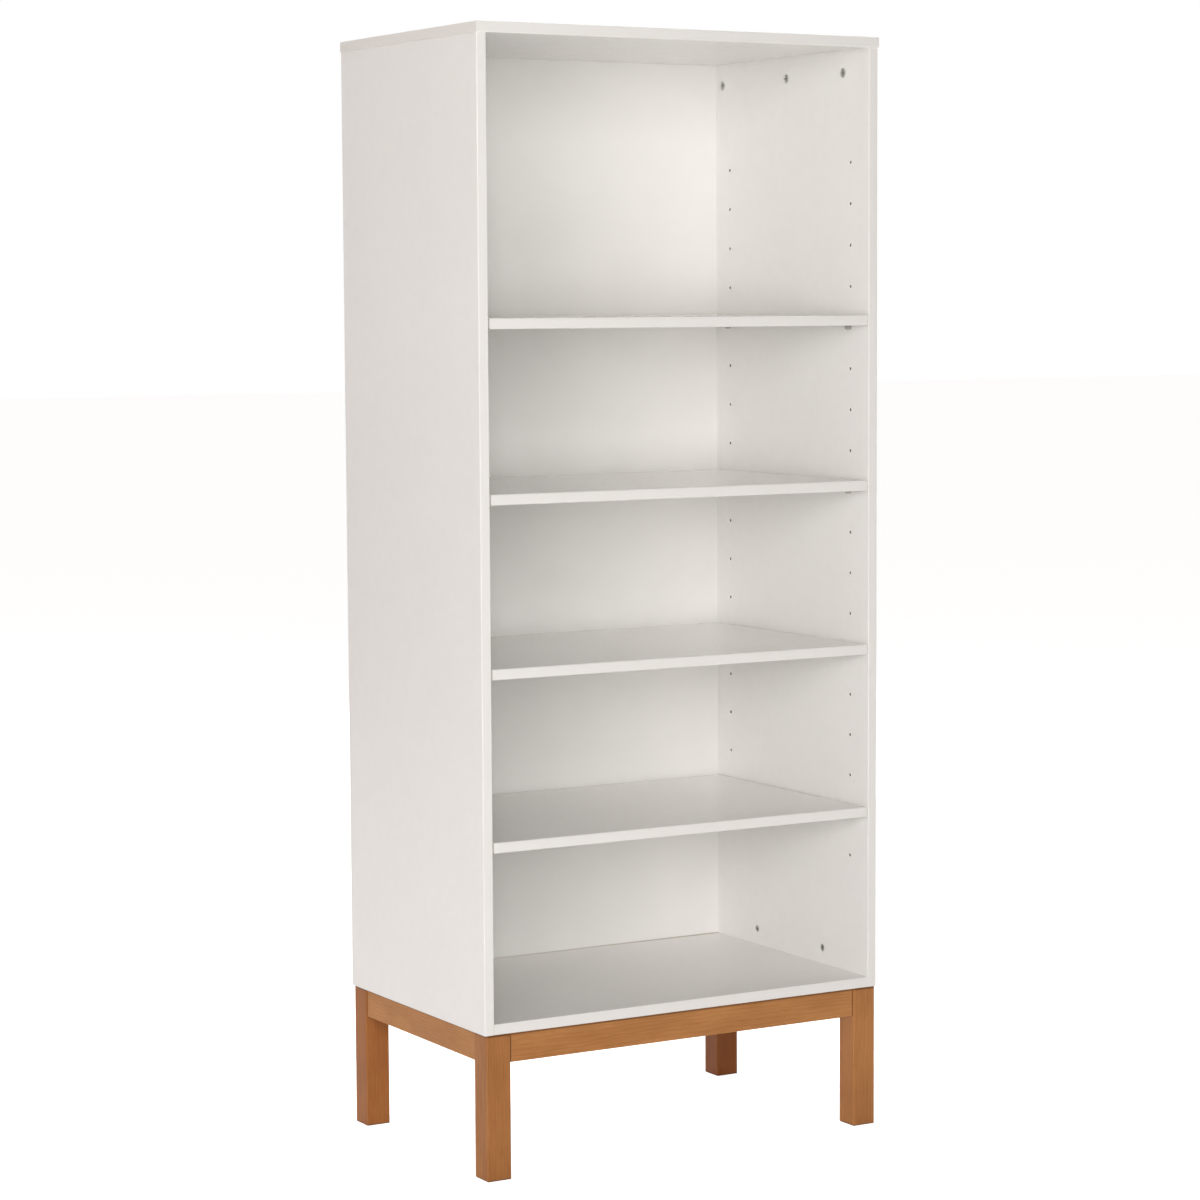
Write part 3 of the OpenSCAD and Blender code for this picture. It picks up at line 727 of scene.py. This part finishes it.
def stained_beech(name, low, high, settings, number, tone):
    """Stained beech under satin varnish, its grain along the longest side of the member.

    Growth rings are a wave of the distance from a pith outside the member, made to wander by slow
    noise. Flecks and pores are noise drawn out along the grain. Cut ends take up more stain and are
    darker; at the top of a leg that band is also painted shade under the carcass. The top strip of
    each member is darker too, partly stain gathered in the seam under the carcass and partly
    painted shade there. The number shifts the grain, so that no two members have the same.
    """
    finish = Finish(name)
    middle, half = (low + high) / 2, (high - low) / 2
    axis = int(np.argmax(half))
    order = {0: (1, 2, 0), 1: (2, 0, 1), 2: (0, 1, 2)}[axis]
    parts = finish.parts(finish.measured_from(middle))
    across, over, along = (parts[i] for i in order)
    edge_parts = [half[i] - abs(parts[i]) for i in range(3)]
    to_edge = edge_parts[order[0]].larger(edge_parts[order[1]])
    own = finish.node("ShaderNodeCombineXYZ", None, {
        0: across + 0.37 * number, 1: over - 0.21 * number, 2: along})

    def grain_noise(width, stretch, detail, roughness=0.5):
        """Noise with waves of that width, and so many times longer along the grain."""
        squeeze = (1 / width, 1 / width, 1 / (width * stretch))
        places = finish.node(
            "ShaderNodeVectorMath", {"operation": "MULTIPLY"}, {0: own, 1: squeeze})
        return finish.noise(1.0, detail, roughness, places)

    wander = grain_noise(30 * MM, 7.0, 2.0)
    drift = grain_noise(9 * MM, 12.0, 2.0)
    pith_across = 52 * MM + 11 * MM * math.sin(2.1 * number)
    pith_over = -34 * MM + 19 * MM * math.cos(1.7 * number)
    dx = across - pith_across + (wander - 0.5) * (16 * MM)
    dy = over - pith_over + (drift - 0.5) * (6 * MM)
    distance = (dx * dx + dy * dy) ** 0.5
    ring = (distance * (TURN / settings.ring_spacing)).sine() * 0.5 + 0.5
    late = ring ** 2.2
    streak = grain_noise(1.6 * MM, 26.0, 3.0, 0.6)
    fibre = grain_noise(0.45 * MM, 30.0, 2.0, 0.6)
    fleck = grain_noise(0.55 * MM, 5.0, 1.0).rise(0.66, 0.76)
    blotch = grain_noise(45 * MM, 2.2, 3.0)
    depth = late * 0.20 + streak.rise(0.3, 0.72) * 0.34
    depth = depth + fibre.rise(0.3, 0.75) * 0.14 + blotch.rise(0.3, 0.7) * 0.40
    # The member's tone multiplies both grain colours: its own timber, and on the rear legs painted
    # shade
    light = [part * tint for part, tint in zip(settings.light_colour, tone)]
    dark = [part * tint for part, tint in zip(settings.dark_colour, tone)]
    wood = finish.mixed(depth, light, dark)
    wood = finish.mixed(fleck * 0.34, wood, scaled(dark, 0.55))
    # Darker cut ends from stain; at the top of a leg this band is also painted shade under the
    # carcass
    ends = edge_parts[order[2]].rise(2.6 * MM, 0.9 * MM)
    # A darker strip along the top: stain gathered in the seam, and painted shade under the carcass
    seam_stain_and_shade = (half[2] - parts[2]).rise(4.4 * MM, 1.8 * MM)
    wood = finish.mixed(ends.larger(seam_stain_and_shade) * 0.84, wood, scaled(dark, 0.36))
    handled = to_edge.rise(3.0 * MM, 0.6 * MM)
    handled = handled * finish.noise(160.0, 3.0).rise(0.38, 0.66)
    wood = finish.mixed(handled * 0.12, wood, scaled(light, 1.15))
    rough = settings.sheen + (streak - 0.5) * 0.12 + fleck * 0.06 - handled * 0.05
    height = fibre * 0.5 + streak * 0.7 + late * 0.35 - fleck * 0.5
    normal = finish.bump(height, 0.045 * MM, 0.8)
    return finish.done(Base_Color=wood, Roughness=rough, Normal=normal, Specular_IOR_Level=0.32)


def bare_beech(settings):
    """Unfinished beech for the dowels: pale wood with fine darker pores."""
    finish = Finish("Bare beech")
    grain = finish.noise(420.0, 4.0, 0.65)
    pores = finish.noise(1900.0, 2.0, 0.6)
    colour = settings.dowel_colour
    base = finish.mixed(grain.rise(0.35, 0.68), colour, scaled(colour, 0.80))
    base = finish.mixed(pores.rise(0.62, 0.74) * 0.5, base, scaled(colour, 0.5))
    normal = finish.bump(grain * 0.6 + pores * 0.5, 0.06 * MM, 0.8)
    return finish.done(Base_Color=base, Roughness=0.68 + (grain - 0.5) * 0.15, Normal=normal)


def plated_pin(settings):
    """Nickel plate over a turned pin: fine lathe rings across X, with light scuffs."""
    finish = Finish("Nickel plated pin")
    x, y, z = finish.parts(finish.places)
    along = finish.node("ShaderNodeCombineXYZ", None, {0: x * 9000.0, 1: y * 60.0, 2: z * 60.0})
    rings = finish.noise(1.0, 2.0, places=along)
    scuff = finish.noise(900.0, 3.0, 0.65)
    colour = settings.pin_colour
    base = finish.mixed(scuff.rise(0.45, 0.75) * 0.6, colour, scaled(colour, 0.72))
    rough = 0.24 + scuff.rise(0.4, 0.75) * 0.18 + (rings - 0.5) * 0.10
    normal = finish.bump(rings, 0.01 * MM, 0.7)
    return finish.done(Base_Color=base, Metallic=1.0, Roughness=rough, Normal=normal)


def cast_zinc(settings):
    """Die-cast zinc: grey metal with a cloudy skin and darker specks of cast grain."""
    finish = Finish("Cast zinc")
    cloud = finish.noise(300.0, 3.0, 0.6)
    grain = finish.noise(2600.0, 2.0, 0.6)
    colour = settings.cam_colour
    base = finish.mixed(cloud.rise(0.35, 0.7), colour, scaled(colour, 0.70))
    base = finish.mixed(grain.rise(0.6, 0.8) * 0.4, base, scaled(colour, 0.45))
    rough = 0.42 + (cloud - 0.5) * 0.25 + (grain - 0.5) * 0.10
    normal = finish.bump(grain * 0.7 + cloud * 0.5, 0.04 * MM, 0.8)
    return finish.done(Base_Color=base, Metallic=0.95, Roughness=rough, Normal=normal)


def zinc_plate(settings):
    """Zinc plating: a crystal pattern about 2 mm wide, rolled lines and small scratches."""
    finish = Finish("Zinc plated steel")
    crystal = finish.node(
        "ShaderNodeTexVoronoi", {"feature": "F1", "distance": "EUCLIDEAN"},
        {"Vector": finish.places, "Scale": 420.0, "Randomness": 1.0}, out="Distance")
    cloud = finish.noise(160.0, 3.0, 0.6)
    drawn = finish.node("ShaderNodeVectorMath", {"operation": "MULTIPLY"},
                        {0: finish.places, 1: (140.0, 140.0, 5200.0)})
    rolled = finish.noise(1.0, 2.0, places=drawn)
    scratch = finish.noise(0.35, 2.0, places=drawn).rise(0.70, 0.76)
    colour = settings.steel_colour
    tone = crystal.rise(0.1, 0.7) * 0.45 + cloud.rise(0.3, 0.7) * 0.35
    tone = tone + rolled.rise(0.3, 0.7) * 0.15
    base = finish.mixed(tone, colour, [colour[0] * 0.70, colour[1] * 0.71, colour[2] * 0.73])
    base = finish.mixed(scratch * 0.25, base, scaled(colour, 1.25))
    rough = 0.34 + (cloud - 0.5) * 0.20 + (rolled - 0.5) * 0.10 + crystal * 0.06
    normal = finish.bump(rolled * 0.5 + cloud * 0.5, 0.03 * MM, 0.7)
    return finish.done(Base_Color=base, Metallic=1.0, Roughness=rough, Normal=normal)


def finish_named(name, build, settings):
    """The finish of that name, built from the settings the first time that it is asked for."""
    return bpy.data.materials.get(name) or build(settings)


def plated_steel(scene):
    """The finish that the steel fasteners and corner plates share."""
    return finish_named("Zinc plated steel", zinc_plate, scene.bookcase_metal)


def add_steel_piece(name, shapes, scene, node):
    """A piece with the plated steel's finish and slot."""
    add_piece(name, shapes, plated_steel(scene), node)


def coat(node, finish):
    """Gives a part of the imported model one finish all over."""
    materials = NODES[node].data.materials
    materials.clear()
    materials.append(finish)


def node_box(node):
    """The low and high corners of a node's box, as arrays."""
    low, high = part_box(node)
    return np.array(low, float), np.array(high, float)


# Steps


class Step:
    """What the steps share. Each has make(scene), which does its work."""

    def execute(self, context):
        self.make(context.scene)
        return {"FINISHED"}


class BOOKCASE_OT_boards(Step, bpy.types.Operator):
    """Satin white lacquer on the top, sides, bottom and shelves"""
    bl_idname = "bookcase.boards"
    bl_label = "Lacquer the boards"

    def make(self, scene):
        for node in BOARDS:
            coat(node, lacquered_board(f"Lacquer {node}", *node_box(node), scene.bookcase_lacquer))


class BOOKCASE_OT_back(Step, bpy.types.Operator):
    """White fibreboard for the back panel"""
    bl_idname = "bookcase.back"
    bl_label = "Finish the back panel"

    def make(self, scene):
        floor_height = float(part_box("bottom_panel")[1].z)
        coat("back_panel", white_back_board(
            "White back board", *node_box("back_panel"), scene.bookcase_lacquer, floor_height))


class BOOKCASE_OT_base(Step, bpy.types.Operator):
    """Stained beech on the legs and rails, each with its own grain"""
    bl_idname = "bookcase.base"
    bl_label = "Stain the legs and rails"

    def make(self, scene):
        for number, node in enumerate(LEGS + RAILS, 1):
            coat(node, stained_beech(
                f"Stained beech {node}", *node_box(node), scene.bookcase_wood, number,
                TIMBER_TONES_AND_SHADE[node]))


class BOOKCASE_OT_corner_plates(Step, bpy.types.Operator):
    """Zinc plated steel on the corner plates of the base"""
    bl_idname = "bookcase.corner_plates"
    bl_label = "Plate the corner plates"

    def make(self, scene):
        for node in CORNER_PLATES:
            coat(node, plated_steel(scene))


class BOOKCASE_OT_shelf_pins(Step, bpy.types.Operator):
    """Turned steel pins that carry the shelves"""
    bl_idname = "bookcase.shelf_pins"
    bl_label = "Turn the shelf pins"

    def make(self, scene):
        finish = finish_named("Nickel plated pin", plated_pin, scene.bookcase_metal)
        for node in SHELF_PINS:
            low, high = node_box(node)
            middle = (low + high) / 2
            side = math.copysign(1, middle[0])
            inner, outer = sorted((abs(low[0]), abs(high[0])))
            radius = (high[2] - low[2]) / 2
            reach, shank = SIDE_FACE - inner, outer - SIDE_FACE
            pin = shelf_pin_shape(reach, shank, radius, radius - PIN_SHOULDER)
            shape = stood(pin, (side * inner, middle[1], middle[2]), (side, 0, 0))
            add_piece(f"turned_{node}", [shape], finish, node)


class BOOKCASE_OT_cams(Step, bpy.types.Operator):
    """Cast cams under the top, in the bottom panel and above the base"""
    bl_idname = "bookcase.cams"
    bl_label = "Cast the cams"

    def make(self, scene):
        metal = scene.bookcase_metal
        finish = finish_named("Cast zinc", cast_zinc, metal)
        for node, bolt in CAM_BOLT_WAYS.items():
            shapes = []
            for low, high in solids(node):
                middle, size = (low + high) / 2, high - low
                side = math.copysign(1, middle[0])
                if bolt is None:
                    radius, depth, bolt_depth = size[0] / 2, size[2], BOTTOM_CAM_BOLT_DEPTH
                    face, out, towards = (middle[0], middle[1], low[2]), (0, 0, -1), (side, 0, 0)
                else:
                    radius, depth, bolt_depth = size[2] / 2, size[0], SIDE_CAM_BOLT_DEPTH
                    inner = side * min(abs(low[0]), abs(high[0]))
                    face, out, towards = (inner, middle[1], middle[2]), (-side, 0, 0), bolt
                cam = cam_shape(radius, depth, metal.slot_width, metal.slot_depth, -bolt_depth)
                shapes.append(stood(cam, face, out, towards))
            add_piece(f"cast_{node}", shapes, finish, node)


class BOOKCASE_OT_cam_bolts(Step, bpy.types.Operator):
    """Threaded bolts that the cams pull tight"""
    bl_idname = "bookcase.cam_bolts"
    bl_label = "Thread the cam bolts"

    def make(self, scene):
        for node, grip in CAM_BOLT_GRIPS.items():
            shapes = []
            for low, high in solids(node):
                middle, along, length, head_radius = long_axis(low, high)
                if node == "base_cam_bolts":
                    along = -along
                if node == "bottom_cam_bolts":
                    along = along * math.copysign(1, middle[0])
                bolt = cam_bolt_shape(length, head_radius, grip)
                shapes.append(stood(bolt, middle - along * length / 2, along, (0, 1, 0)))
            add_steel_piece(f"threaded_{node}", shapes, scene, node)


class BOOKCASE_OT_dowels(Step, bpy.types.Operator):
    """Fluted beech dowels in the carcass and the base"""
    bl_idname = "bookcase.dowels"
    bl_label = "Flute the dowels"

    def make(self, scene):
        wood = scene.bookcase_wood
        finish = finish_named("Bare beech", bare_beech, wood)
        for node in ("top_dowels", "bottom_dowels", "rail_dowels"):
            shapes = []
            for low, high in solids(node):
                middle, along, length, radius = long_axis(low, high)
                dowel = dowel_shape(length, radius, wood.dowel_flutes)
                shapes.append(stood(dowel, middle - along * length / 2, along, np.roll(along, -1)))
            add_piece(f"fluted_{node}", shapes, finish, node)


def hanger_bolt_line(low, high):
    """Radius, length, inner end and direction, from its box, of a level bolt at 45 degrees."""
    middle = (low + high) / 2
    radius = (high[2] - low[2]) / 2
    length = (high[0] - low[0]) * math.sqrt(2) - 2 * radius
    centre = (CAD_BOX[0] + CAD_BOX[1]) / 2
    along = np.array([
        math.copysign(1, middle[0] - centre.x), math.copysign(1, middle[1] - centre.y), 0])
    along = along / math.sqrt(2)
    return radius, length, middle - along * length / 2, along


class BOOKCASE_OT_hanger_bolts(Step, bpy.types.Operator):
    """Threaded rods from the corner plates into the legs, and the wing nuts on them"""
    bl_idname = "bookcase.hanger_bolts"
    bl_label = "Thread the hanger bolts and fit the wing nuts"

    def make(self, scene):
        bolts, nuts = [], []
        for low, high in solids("hanger_bolts"):
            radius, length, foot, along = hanger_bolt_line(low, high)
            bolts.append(stood(hanger_bolt_shape(length, radius, 35 * MM), foot, along))
            nuts += [stood(shape, foot + along * 6 * MM, along)
                     for shape in wing_nut_shapes(radius + 0.1 * MM)]
        add_steel_piece("threaded_hanger_bolts", bolts, scene, "hanger_bolts")
        add_steel_piece("cast_wing_nuts", nuts, scene, "wing_nuts")


class BOOKCASE_OT_screws(Step, bpy.types.Operator):
    """Pan head screws in the corner plates and up through the rails"""
    bl_idname = "bookcase.screws"
    bl_label = "Thread the wood screws"

    def make(self, scene):
        centre = np.array((CAD_BOX[0] + CAD_BOX[1]) / 2)
        for node in ("corner_plate_screws", "rail_screws"):
            shapes = []
            for low, high in solids(node):
                middle, along, length, head_radius = long_axis(low, high)
                axis = int(np.argmax(along))
                # A screw's own Z runs from its tip to its head: down for the rail screws, inwards
                # for the others. The cross recess stands at a different tilt on each kind.
                to_head = -along
                if axis != 2:
                    to_head = to_head * math.copysign(1, (middle - centre)[axis])
                screw = screw_shape(length, 2.4 * MM, head_radius, 2.0 * MM)
                tilt = (0.6, 0.8, 0) if axis == 2 else (0, 0.3, 1)
                shapes.append(stood(screw, middle - to_head * length / 2, to_head, tilt))
            add_steel_piece(f"threaded_{node}", shapes, scene, node)


class BOOKCASE_OT_back_nails(Step, bpy.types.Operator):
    """Flat-headed nails along the foot of the back panel"""
    bl_idname = "bookcase.back_nails"
    bl_label = "Drive the back panel nails"

    def make(self, scene):
        shapes = []
        for low, high in solids("back_panel_nails"):
            middle, size = (low + high) / 2, high - low
            nail = nail_shape(size[1], 0.8 * MM, size[0] / 2, 0.8 * MM)
            shapes.append(stood(nail, (middle[0], low[1], middle[2]), (0, 1, 0)))
        add_steel_piece("driven_back_panel_nails", shapes, scene, "back_panel_nails")


def soft_box(name, place, width, tall, power):
    """A rectangular soft light that faces the bookcase, and is not mirrored in the boards."""
    light = bpy.data.lights.new(name, "AREA")
    light.shape = "RECTANGLE"
    light.size = width
    light.size_y = tall
    light.energy = power
    made = bpy.data.objects.new(name, light)
    made.visible_glossy = False
    towards = Vector((0, 0, LIGHTS_AIM_HEIGHT)) - Vector(place)
    turn = towards.to_track_quat("-Z", "Y").to_matrix().to_4x4()
    made.matrix_world = Matrix.Translation(Vector(place)) @ turn
    bpy.context.scene.collection.objects.link(made)


class BOOKCASE_OT_studio(Step, bpy.types.Operator):
    """Camera, plain pale floor, soft light and a white surround"""
    bl_idname = "bookcase.studio"
    bl_label = "Set up the studio"

    def make(self, scene):
        settings = scene.bookcase_studio
        scene.view_settings.view_transform = "Standard"
        scene.view_settings.look = "None"
        scene.view_settings.exposure = 0.0
        scene.view_settings.gamma = 1.0
        self.camera(scene, settings)
        self.floor(scene, settings)
        self.surround(scene, settings)
        # Each soft box: its name, distance from the middle, heading in degrees from straight in
        # front, height, own tallness and power
        boxes = (("Key soft box", 5.5, -25, 1.75, 2.8, settings.key_power),
                 ("Side soft box", 5.5, -45, 1.1, 1.6, settings.side_power),
                 ("Rear soft box", 5.5, 162, 2.0, 1.6, settings.rear_power),
                 ("Right soft box", 5.5, 106, 1.5, 1.6, settings.right_power),
                 ("Top soft box", 0.7, 180, 4.2, 1.6, settings.top_power))
        for name, distance, degrees, height, tall, power in boxes:
            heading = math.radians(degrees)
            place = (distance * math.sin(heading), -distance * math.cos(heading), height)
            soft_box(name, place, SOFT_BOX_WIDTH, tall, power)

    def camera(self, scene, settings):
        data = bpy.data.cameras.new("Camera")
        data.sensor_fit = "HORIZONTAL"
        data.sensor_width = 36.0
        data.lens = settings.focal_length
        data.clip_start = 0.05
        data.clip_end = 200.0
        camera = bpy.data.objects.new("Camera", data)
        heading, pitch = settings.camera_heading, settings.camera_pitch
        roll = settings.camera_roll
        level = Vector((math.cos(heading), -math.sin(heading), 0))
        ahead = Vector((math.sin(heading) * math.cos(pitch), math.cos(heading) * math.cos(pitch),
                        -math.sin(pitch)))
        above = level.cross(ahead)
        right = level * math.cos(roll) + above * math.sin(roll)
        up = above * math.cos(roll) - level * math.sin(roll)
        turn = Matrix((right, up, -ahead)).transposed().to_4x4()
        camera.matrix_world = Matrix.Translation(Vector(settings.camera_place)) @ turn
        scene.collection.objects.link(camera)
        scene.camera = camera

    def floor(self, scene, settings):
        """A wide floor just below the feet, clear from underneath to show the underside."""
        reach, height = FLOOR_REACH, float(CAD_BOX[0].z) - FLOOR_DROP
        mesh = bpy.data.meshes.new("studio_floor")
        mesh.from_pydata([(-reach, -reach, height), (reach, -reach, height), (reach, reach, height),
                          (-reach, reach, height)], [], [(0, 1, 2, 3)])
        finish = Finish("Pale floor")
        cloud = finish.noise(3.0, 3.0)
        grey = finish.mixed(cloud, (0.80, 0.80, 0.80), (0.78, 0.78, 0.78))
        seen = finish.node("ShaderNodeLightPath", out="Is Camera Ray")
        glow = finish.mixed(seen, (0.0, 0.0, 0.0), (1.0, 1.0, 1.0))
        mesh.materials.append(finish.done(
            Base_Color=grey, Roughness=0.9, Specular_IOR_Level=0.1,
            Emission_Color=glow, Emission_Strength=settings.floor_white))
        surface = finish.output.inputs["Surface"]
        top = Value(finish, surface.links[0].from_socket)
        clear = finish.node("ShaderNodeBsdfTransparent")
        under = finish.node("ShaderNodeNewGeometry", out="Backfacing")
        both = finish.node("ShaderNodeMixShader", None, {0: under, 1: top, 2: clear})
        finish.tree.links.new(both.socket, surface)
        floor = bpy.data.objects.new("studio_floor", mesh)
        scene.collection.objects.link(floor)

    def surround(self, scene, settings):
        """White where it is seen directly. The light that it casts comes mostly from the left."""
        world = bpy.data.worlds.new("Studio surround")
        scene.world = world
        world.use_nodes = True
        studio = Finish.of_tree(world.node_tree)
        x = studio.parts(studio.node("ShaderNodeTexCoord", out="Generated"))[0]
        strength = (0 - x).larger(0) * settings.left_surround + settings.surround
        lit = studio.node("ShaderNodeBackground", None, {
            "Color": settings.left_tint, "Strength": strength})
        seen = studio.node("ShaderNodeBackground", None, {"Color": (1, 1, 1), "Strength": 1.0})
        direct = studio.node("ShaderNodeLightPath", out="Is Camera Ray")
        both = studio.node("ShaderNodeMixShader", None, {0: direct, 1: lit, 2: seen})
        output = studio.tree.nodes.new("ShaderNodeOutputWorld")
        studio.tree.links.new(both.socket, output.inputs["Surface"])


class BOOKCASE_PT_panel(bpy.types.Panel):
    """Steps that finish the bookcase, in order"""
    bl_idname = "BOOKCASE_PT_panel"
    bl_label = "Bookcase"
    bl_space_type = "VIEW_3D"
    bl_region_type = "UI"
    bl_category = "Bookcase"

    def draw(self, context):
        for step in STEPS:
            self.layout.operator(step.bl_idname)
        for group in SETTINGS:
            box = self.layout.box()
            values = getattr(context.scene, group)
            for name in values.bl_rna.properties.keys():
                if name not in ("rna_type", "name"):
                    box.prop(values, name)


SETTINGS = {
    "bookcase_lacquer": LacquerSettings,
    "bookcase_wood": WoodSettings,
    "bookcase_metal": MetalSettings,
    "bookcase_studio": StudioSettings,
}
STEPS = [
    BOOKCASE_OT_studio, BOOKCASE_OT_boards, BOOKCASE_OT_back, BOOKCASE_OT_base,
    BOOKCASE_OT_corner_plates, BOOKCASE_OT_shelf_pins, BOOKCASE_OT_cams, BOOKCASE_OT_cam_bolts,
    BOOKCASE_OT_dowels, BOOKCASE_OT_hanger_bolts, BOOKCASE_OT_screws, BOOKCASE_OT_back_nails,
]


def register():
    for group in SETTINGS.values():
        bpy.utils.register_class(group)
    for name, group in SETTINGS.items():
        setattr(bpy.types.Scene, name, PointerProperty(type=group))
    for step in STEPS:
        bpy.utils.register_class(step)
    bpy.utils.register_class(BOOKCASE_PT_panel)


def unregister():
    bpy.utils.unregister_class(BOOKCASE_PT_panel)
    for step in reversed(STEPS):
        bpy.utils.unregister_class(step)
    for name, group in SETTINGS.items():
        delattr(bpy.types.Scene, name)
        bpy.utils.unregister_class(group)


def main():
    """Runs every step once."""
    register()
    for step in STEPS:
        group, action = step.bl_idname.split(".")
        if getattr(getattr(bpy.ops, group), action)() != {"FINISHED"}:
            raise RuntimeError(f"the step {step.bl_label!r} did not finish")


if __name__ == "__main__":
    main()
